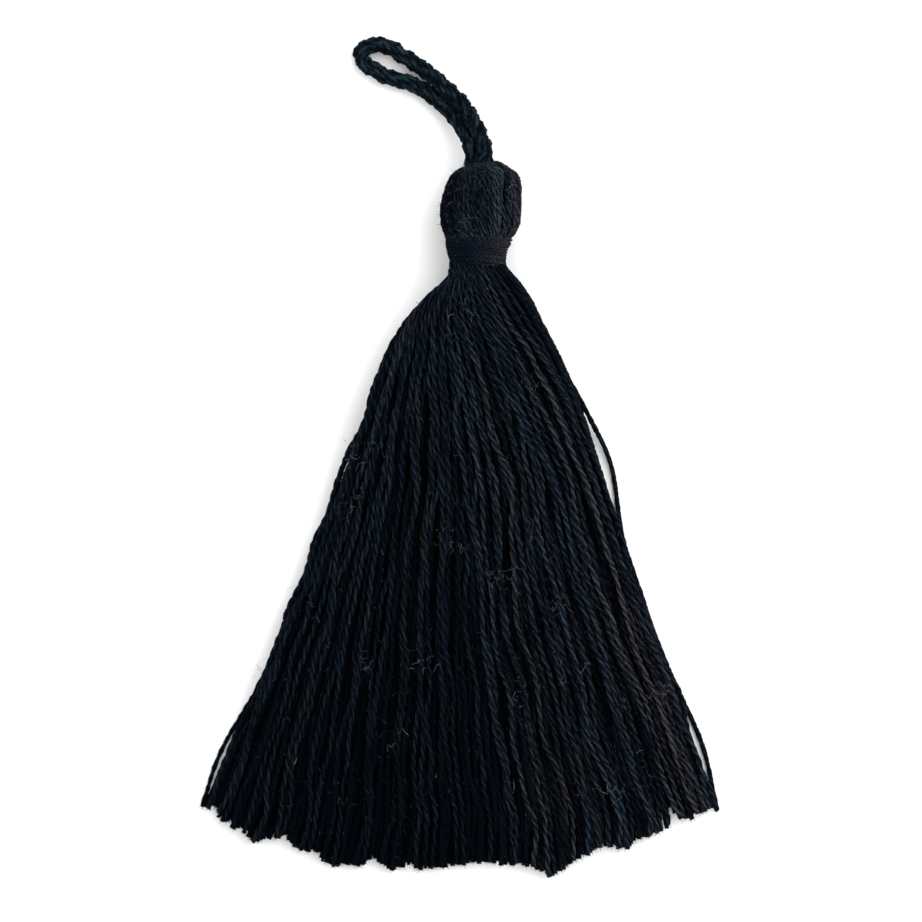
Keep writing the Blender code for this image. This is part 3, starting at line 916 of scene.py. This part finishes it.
def fibres(name, lines, thickness):
    """One mesh of fine fibres. Its map is the plan of the piece seen from above."""
    curve = bpy.data.curves.new(name, "CURVE")
    curve.dimensions = "3D"
    curve.bevel_depth = thickness / 2 * MM
    curve.bevel_resolution = 0
    curve.use_fill_caps = True
    for line in lines:
        spline = curve.splines.new("POLY")
        spline.points.add(len(line) - 1)
        spline.points.foreach_set("co", np.column_stack([line * MM, np.ones(len(line))]).ravel())
        spline.points.foreach_set("radius", np.linspace(1, HAIR_TIP, len(line)))
    tubes = drawn_out(curve)
    plan = tubes.loops.layers.uv["UVMap"]
    across, along = PLAN_MIDDLE
    for face in tubes.faces:
        for corner in face.loops:
            x, y, _ = corner.vert.co
            corner[plan].uv = (x * PLAN_SCALE + across, y * PLAN_SCALE + along)
    return finished(name, tubes)


def curl(start, heading, hair, dice):
    """A fibre that sets off on its heading and turns a little at each of its points."""
    length = dice.uniform(hair.shortest, hair.longest)
    heading = Vector(heading).normalized()
    swing = Vector([dice.gauss(0, hair.bend) for _ in range(3)])
    line = [Vector(start)]
    for _ in range(hair.points - 1):
        turned = Vector([dice.gauss(0, hair.bend) for _ in range(3)])
        swing = swing * SWING_KEPT + turned * SWING_NEW
        heading = (heading + swing).normalized()
        line.append(line[-1] + heading * length / (hair.points - 1))
    return np.array([(point.x, point.y, max(LOWEST, point.z)) for point in line])


# Which yarns have fuzz. The skirt's, counted from the surface up, have it from the first number
# and twice as much from the second. The head's are counted from its underside round its left and
# over the top. The loop's have the most, as it is the most handled.
FUZZY_LENGTHS = 60
FUZZIER_LENGTHS = 150
FUZZY_HEAD = 56
HEAD_FUZZ = 2
LOOP_FUZZ = 6

# How hairs stand out of a yarn. OUTWARDS: how widely their ways out are spread in X, Y and Z.
# The roots lie away from the yarn's middle by a share of its thickness.
OUTWARDS = (0.7, 0.3, 1.0)
FUZZ_ROOT = 0.4
FUZZ_LIFT = 0.35
FUZZ_ALONG = (-0.6, 1.0)
FRAY_ROOT = (0.05, 0.4)
FRAY_BACK = 0.1
FRAY_SPLAY = 0.5

dice = random.Random(3)
fuzz_lines = []
fuzzy = routes[FUZZY_LENGTHS:] + routes[FUZZIER_LENGTHS:]
fuzzy += head_routes[:FUZZY_HEAD] * HEAD_FUZZ + cord_routes * LOOP_FUZZ
for _ in range(HAIRS):
    route = np.asarray(dice.choice(fuzzy))
    spot = dice.randrange(1, len(route) - 1)
    along = Vector(route[spot + 1] - route[spot - 1]).normalized()
    out = Vector([dice.gauss(0, spread) for spread in OUTWARDS])
    out = Vector((out.x, out.y, abs(out.z))).normalized()
    start = Vector(route[spot]) + out * YARN * FUZZ_ROOT
    heading = out * FUZZ_LIFT + along * dice.uniform(*FUZZ_ALONG)
    fuzz_lines.append(curl(start, heading, FUZZ, dice))
for route in routes:
    along = Vector(route[-1] - route[-2]).normalized()
    for _ in range(FRAYS):
        out = Vector((dice.gauss(0, 1), 0, dice.gauss(0, 1))).normalized()
        start = Vector(route[-1]) + out * YARN * dice.uniform(*FRAY_ROOT) - along * FRAY_BACK
        fuzz_lines.append(curl(start, along + out * FRAY_SPLAY, FRAY, dice))
fuzz = fibres("fuzz", fuzz_lines, FUZZ.thickness)


FIBRE_PATCHES = 900.0
FIBRE_FADING = 1.4
FIBRE_MATT = 0.7


def fibre(name, deep, faded):
    """Loose cotton fibre: matt, and paler here and there along it."""
    material = bpy.data.materials.new(name)
    material.use_nodes = True
    tree = material.node_tree
    start = Signal(tree)
    place = start.node("TexCoord", "Object")
    patches = {"Vector": place, "Scale": FIBRE_PATCHES, "Detail": 2.0}
    patches = start.node("TexNoise", 0, None, patches)
    own = start.node("NewGeometry", "Random Per Island")
    paleness = FIBRE_FADING * patches * own
    blend = {"data_type": "RGBA", "clamp_factor": True}
    colour = start.node("Mix", 2, blend, {0: paleness, 6: deep, 7: faded})
    surface = tree.nodes["Principled BSDF"]
    tree.links.new(colour.socket, surface.inputs["Base Color"])
    tree.links.new((FIBRE_MATT + MATT_FIBRES * patches).socket, surface.inputs["Roughness"])
    surface.inputs["Specular IOR Level"].default_value = 0.08
    return material


loose_fibre = fibre("loose_fibre", (0.003, 0.004, 0.006, 1.0), (0.11, 0.13, 0.16, 1.0))
fuzz.data.materials.append(loose_fibre)
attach(fuzz, "root")

NEAR = 0.5  # how far to either side of a place the pile's top is felt for
FLATTENED = 0.25  # the share of its height that a curl of lint keeps as it clings to the pile
LINT_RAISED = (-0.1, 0.25)  # how high over the pile's top a curl starts
LINT_STEP = 0.25

# The curls on the head, point by point.
HEAD_LINT = (
    ((-2.3, -1.6, 8.80), (-1.8, -1.2, 9.15), (-1.1, -1.1, 9.45), (-0.24, -1.0, 9.52)),
    ((-2.0, -1.6, 9.00), (-1.6, -1.5, 9.25), (-1.1, -1.5, 9.42)),
    ((3.7, 2.5, 8.00), (3.9, 2.9, 7.75), (4.3, 3.0, 7.35), (4.8, 3.1, 6.65)),
    ((4.2, 3.9, 7.00), (4.1, 3.4, 7.45), (4.5, 2.7, 7.15)),
    ((-3.7, 1.8, 7.40), (-3.4, 1.9, 7.80), (-3.2, 2.1, 7.85)),
)


def top_of_pile(x, y):
    """How high the skirt's pile is near a place."""
    station = int(np.clip(round((NECK_LINE - y - ROOT) / STATION), 0, len(stations) - 1))
    near = np.abs(sideways[:, station] - x) < NEAR
    return heights[near, station].max(initial=YARN / 2) + YARN / 2


lint_lines = []
for spot in SPOTS:
    for _ in range(spot.curls):
        x, y = dice.gauss(spot.x, spot.wide / 2), dice.gauss(spot.y, spot.wide / 2)
        start = Vector((x, y, top_of_pile(x, y) + dice.uniform(*LINT_RAISED)))
        heading = (dice.gauss(0, 1), dice.gauss(0, 1), 0)
        line = curl(start, heading, LINT, dice)
        line[:, 2] = start.z + FLATTENED * (line[:, 2] - start.z)
        lint_lines.append(line)
lint_lines.extend(evenly(line, LINT_STEP) for line in HEAD_LINT)
lint = fibres("lint", lint_lines, LINT.thickness)
pale_lint = fibre("pale_lint", (0.03, 0.035, 0.045, 1.0), (0.30, 0.32, 0.35, 1.0))
lint.data.materials.append(pale_lint)
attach(lint, "root")


# ---------------------------------------------------------------- the studio
# A white table under a white sky, with one large soft lamp at the upper right, and a camera
# straight above the tassel.
VIEW_CENTRE = Vector((-2.04, -29.88, 2.0)) * MM
VIEW_WIDTH = 110.64 * MM
CAMERA_HEIGHT = 0.6
NEAREST_SEEN = 0.01
TABLE_HALF = 1.5
TABLE_BELOW = 0.02 * MM  # so that no yarn's underside is level with the table top
TABLE_WHITE = (0.9, 0.9, 0.9, 1.0)
SKY_WHITE = (1.0, 1.0, 1.0, 1.0)
SKY_STRENGTH = 1.3
LAMP_SIZE = 0.7
LAMP_POWER = 5.0
LAMP_PLACE = VIEW_CENTRE + Vector((0.42, 0.36, 0.70))

table_top = bmesh.new()
bmesh.ops.create_grid(table_top, x_segments=1, y_segments=1, size=TABLE_HALF)
mesh = bpy.data.meshes.new("floor")
table_top.to_mesh(mesh)
table_top.free()
floor = bpy.data.objects.new("floor", mesh)
bpy.context.scene.collection.objects.link(floor)
floor.location.z = -TABLE_BELOW
white = bpy.data.materials.new("white_table")
white.use_nodes = True
white.node_tree.nodes["Principled BSDF"].inputs["Base Color"].default_value = TABLE_WHITE
white.node_tree.nodes["Principled BSDF"].inputs["Roughness"].default_value = 0.9
mesh.materials.append(white)

world = bpy.data.worlds.new("soft_white")
world.use_nodes = True
world.node_tree.nodes["Background"].inputs["Color"].default_value = SKY_WHITE
world.node_tree.nodes["Background"].inputs["Strength"].default_value = SKY_STRENGTH
bpy.context.scene.world = world

lamp_data = bpy.data.lights.new("soft_lamp", "AREA")
lamp_data.shape = "SQUARE"
lamp_data.size = LAMP_SIZE
lamp_data.energy = LAMP_POWER
lamp = bpy.data.objects.new("soft_lamp", lamp_data)
bpy.context.scene.collection.objects.link(lamp)
lamp.location = LAMP_PLACE
lamp.rotation_euler = (VIEW_CENTRE - LAMP_PLACE).to_track_quat("-Z", "Y").to_euler()

camera_data = bpy.data.cameras.new("camera")
camera_data.angle = 2 * math.atan(VIEW_WIDTH / 2 / CAMERA_HEIGHT)
camera_data.clip_start = NEAREST_SEEN
camera = bpy.data.objects.new("camera", camera_data)
bpy.context.scene.collection.objects.link(camera)
camera.location = VIEW_CENTRE + Vector((0, 0, CAMERA_HEIGHT))
bpy.context.scene.camera = camera
bpy.context.scene.view_settings.view_transform = "Standard"
